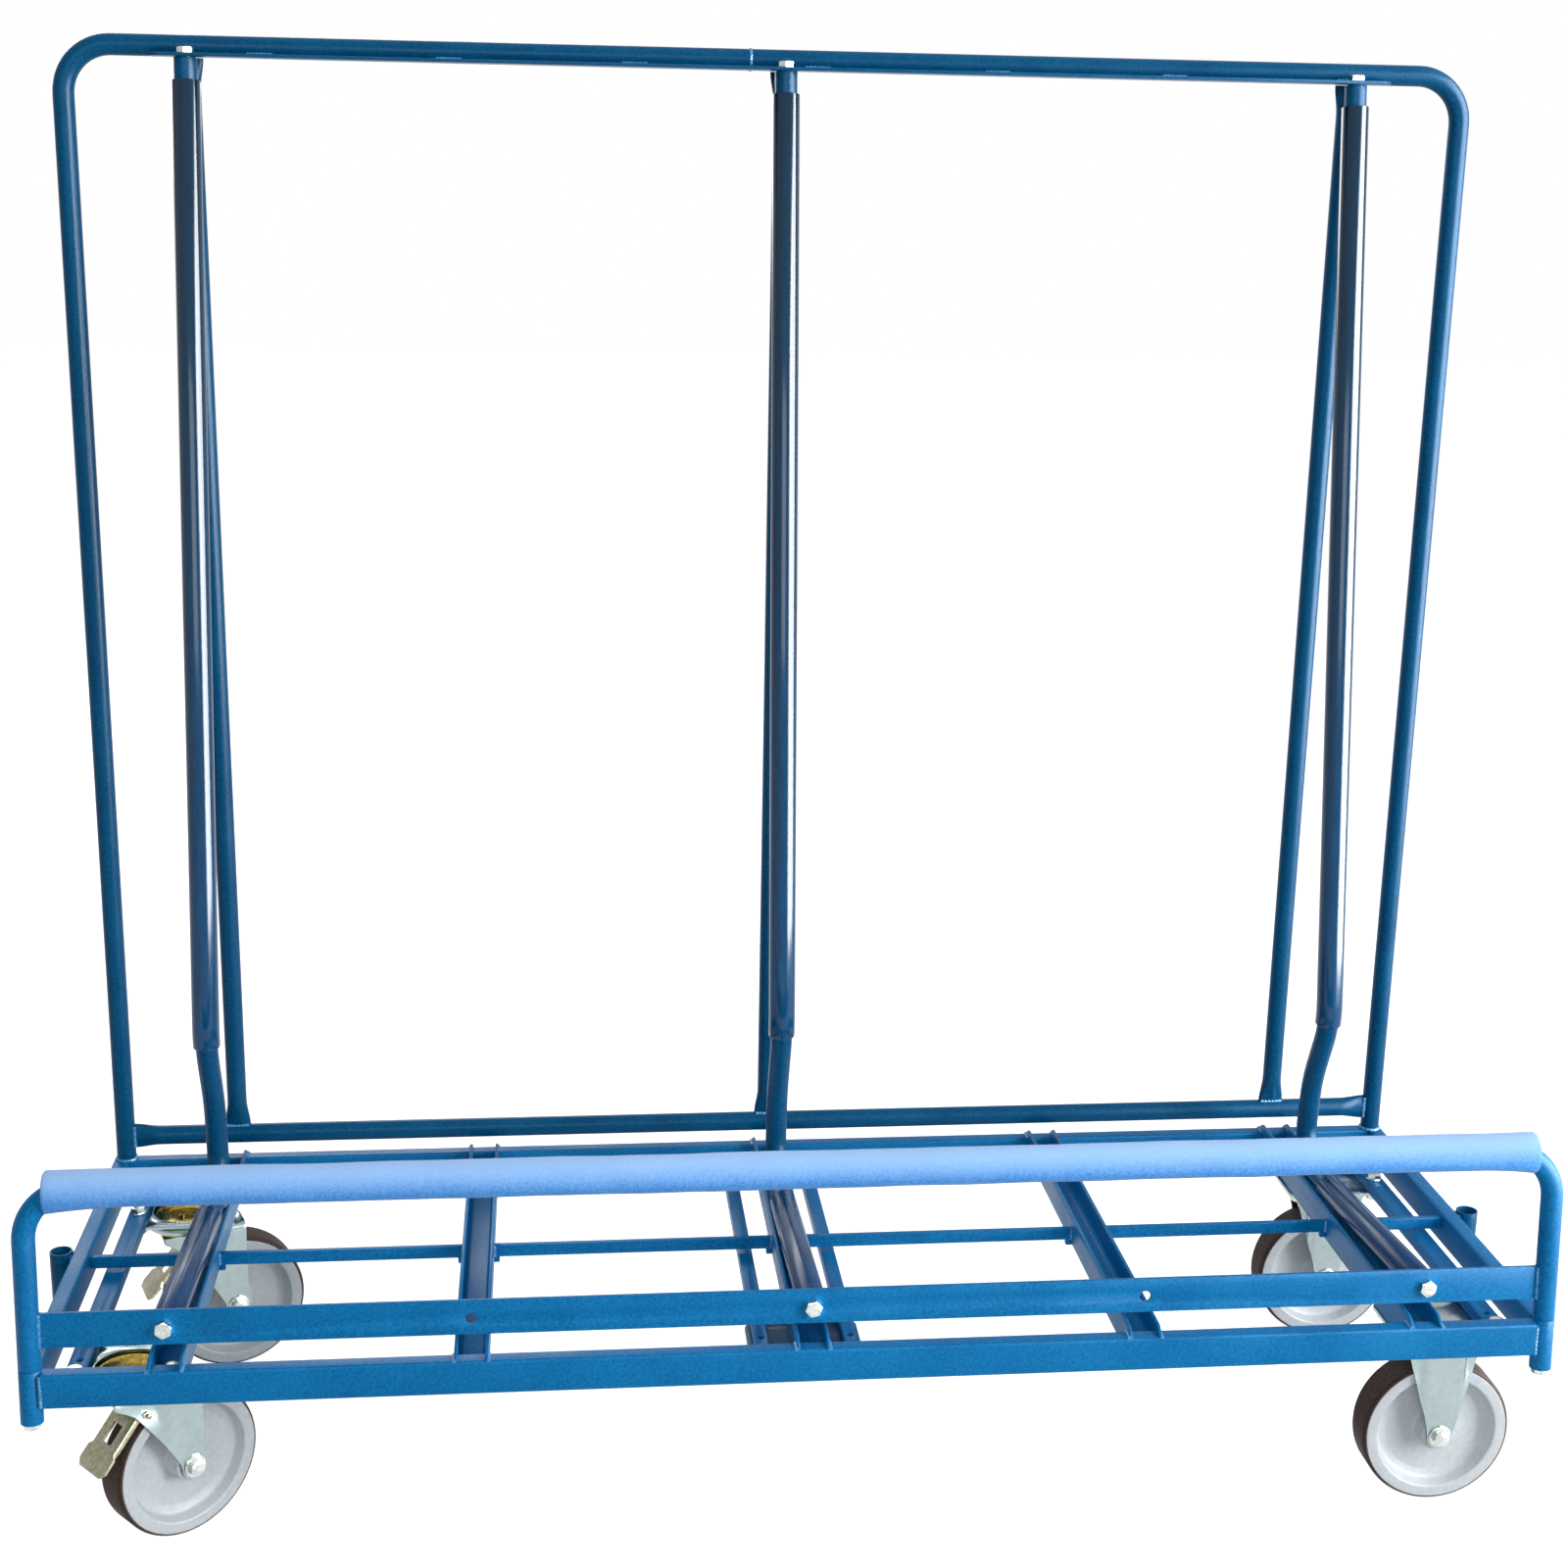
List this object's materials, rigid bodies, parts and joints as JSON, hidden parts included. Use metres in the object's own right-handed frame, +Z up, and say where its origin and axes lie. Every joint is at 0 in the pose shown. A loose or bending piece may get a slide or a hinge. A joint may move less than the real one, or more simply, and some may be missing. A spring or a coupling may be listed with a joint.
{
  "type": "sheet goods cart",
  "caption": "Wheeled workshop cart for board and sheet stock: open welded base on casters, low padded front hoop, sleeved bent lean bars and a tall rear hoop.",
  "frame": {"origin": "on the floor, under the middle of the cart's overall box", "axes": "+X along the cart to the fixed-caster end, +Y from the padded front hoop to the tall rear hoop, +Z up"},
  "size_m": [1.7856, 0.59, 1.683],
  "materials": {
    "blue_paint_rail": "glossy powder coat on rectangular tube and bars",
    "blue_paint_tube": "glossy powder coat on round tube",
    "dark_paint_plate": "powder coat on a plate in shade",
    "blue_foam": "matt closed-cell foam",
    "navy_sleeve": "glossy plastic pipe",
    "zinc_plate": "bright zinc plating",
    "wheel_grey": "moulded grey core with a dark bonded tread",
    "pedal_steel": "dull passivated pressing"
  },
  "bodies": {
    "frame": {"front_rail": "blue_paint_rail", "rear_rail": "blue_paint_rail", "left_side_rail": "blue_paint_rail", "right_side_rail": "blue_paint_rail", "mid_rail": "blue_paint_rail", "cross_channel_1": "blue_paint_rail", "cross_channel_2": "blue_paint_rail", "cross_channel_3": "blue_paint_rail", "cross_channel_4": "blue_paint_rail", "cross_channel_5": "blue_paint_rail", "caster_bar_1": "blue_paint_rail", "caster_bar_2": "blue_paint_rail", "caster_bar_3": "blue_paint_rail", "caster_bar_4": "blue_paint_rail", "caster_bar_5": "blue_paint_rail", "caster_bar_6": "blue_paint_rail", "front_hoop": "blue_paint_tube", "front_socket_left": "blue_paint_tube", "front_socket_right": "blue_paint_tube", "stake_socket_left": "blue_paint_tube", "stake_socket_right": "blue_paint_tube", "rear_hoop": "blue_paint_tube", "rear_lower_tube": "blue_paint_tube", "rear_upright_1": "blue_paint_tube", "rear_upright_2": "blue_paint_tube", "rear_upright_3": "blue_paint_tube", "top_strip": "blue_paint_tube", "lean_bar_1": "blue_paint_tube", "lean_bar_2": "blue_paint_tube", "lean_bar_3": "blue_paint_tube", "centre_plate": "dark_paint_plate", "foam_sleeve": "blue_foam", "floor_sleeve_1": "navy_sleeve", "floor_sleeve_2": "navy_sleeve", "floor_sleeve_3": "navy_sleeve", "upright_sleeve_1": "navy_sleeve", "upright_sleeve_2": "navy_sleeve", "upright_sleeve_3": "navy_sleeve", "front_bolt_1": "zinc_plate", "front_bolt_2": "zinc_plate", "front_bolt_3": "zinc_plate", "top_bolt_1": "zinc_plate", "top_bolt_2": "zinc_plate", "top_bolt_3": "zinc_plate", "front_right_fork": "zinc_plate", "front_right_axle": "zinc_plate", "rear_right_fork": "zinc_plate", "rear_right_axle": "zinc_plate", "front_left_plate": "zinc_plate", "rear_left_plate": "zinc_plate"},
    "front_left_swivel": {"front_left_fork": "zinc_plate", "front_left_axle": "zinc_plate"},
    "front_left_wheel_body": {"front_left_wheel": "wheel_grey"},
    "front_left_pedal_body": {"front_left_pedal": "pedal_steel"},
    "front_right_wheel_body": {"front_right_wheel": "wheel_grey"},
    "rear_left_swivel": {"rear_left_fork": "zinc_plate", "rear_left_axle": "zinc_plate"},
    "rear_left_wheel_body": {"rear_left_wheel": "wheel_grey"},
    "rear_left_pedal_body": {"rear_left_pedal": "pedal_steel"},
    "rear_right_wheel_body": {"rear_right_wheel": "wheel_grey"}
  },
  "joints": [
    {"name": "front_left_caster_swivel", "type": "hinge", "parent": "frame", "child": "front_left_swivel", "pos_m": [-0.764, -0.20145, 0.2], "axis": [0, 0, 1], "continuous": true},
    {"name": "front_left_wheel_spin", "type": "hinge", "parent": "front_left_swivel", "child": "front_left_wheel_body", "pos_m": [-0.7211, -0.16545, 0.09], "axis": [-0.6428, 0.766, 0], "continuous": true},
    {"name": "front_left_brake_pedal", "type": "hinge", "parent": "front_left_swivel", "child": "front_left_pedal_body", "pos_m": [-0.7617, -0.19952, 0.173], "axis": [-0.6428, 0.766, 0], "range_deg": [0, 25]},
    {"name": "front_right_wheel_spin", "type": "hinge", "parent": "frame", "child": "front_right_wheel_body", "pos_m": [0.764, -0.20145, 0.09], "axis": [0, 1, 0], "continuous": true},
    {"name": "rear_left_caster_swivel", "type": "hinge", "parent": "frame", "child": "rear_left_swivel", "pos_m": [-0.764, 0.20855, 0.2], "axis": [0, 0, 1], "continuous": true},
    {"name": "rear_left_wheel_spin", "type": "hinge", "parent": "rear_left_swivel", "child": "rear_left_wheel_body", "pos_m": [-0.71138, 0.2277, 0.09], "axis": [-0.342, 0.9397, 0], "continuous": true},
    {"name": "rear_left_brake_pedal", "type": "hinge", "parent": "rear_left_swivel", "child": "rear_left_pedal_body", "pos_m": [-0.76118, 0.20958, 0.173], "axis": [-0.342, 0.9397, 0], "range_deg": [0, 25]},
    {"name": "rear_right_wheel_spin", "type": "hinge", "parent": "frame", "child": "rear_right_wheel_body", "pos_m": [0.764, 0.20855, 0.09], "axis": [0, 1, 0], "continuous": true}
  ]
}
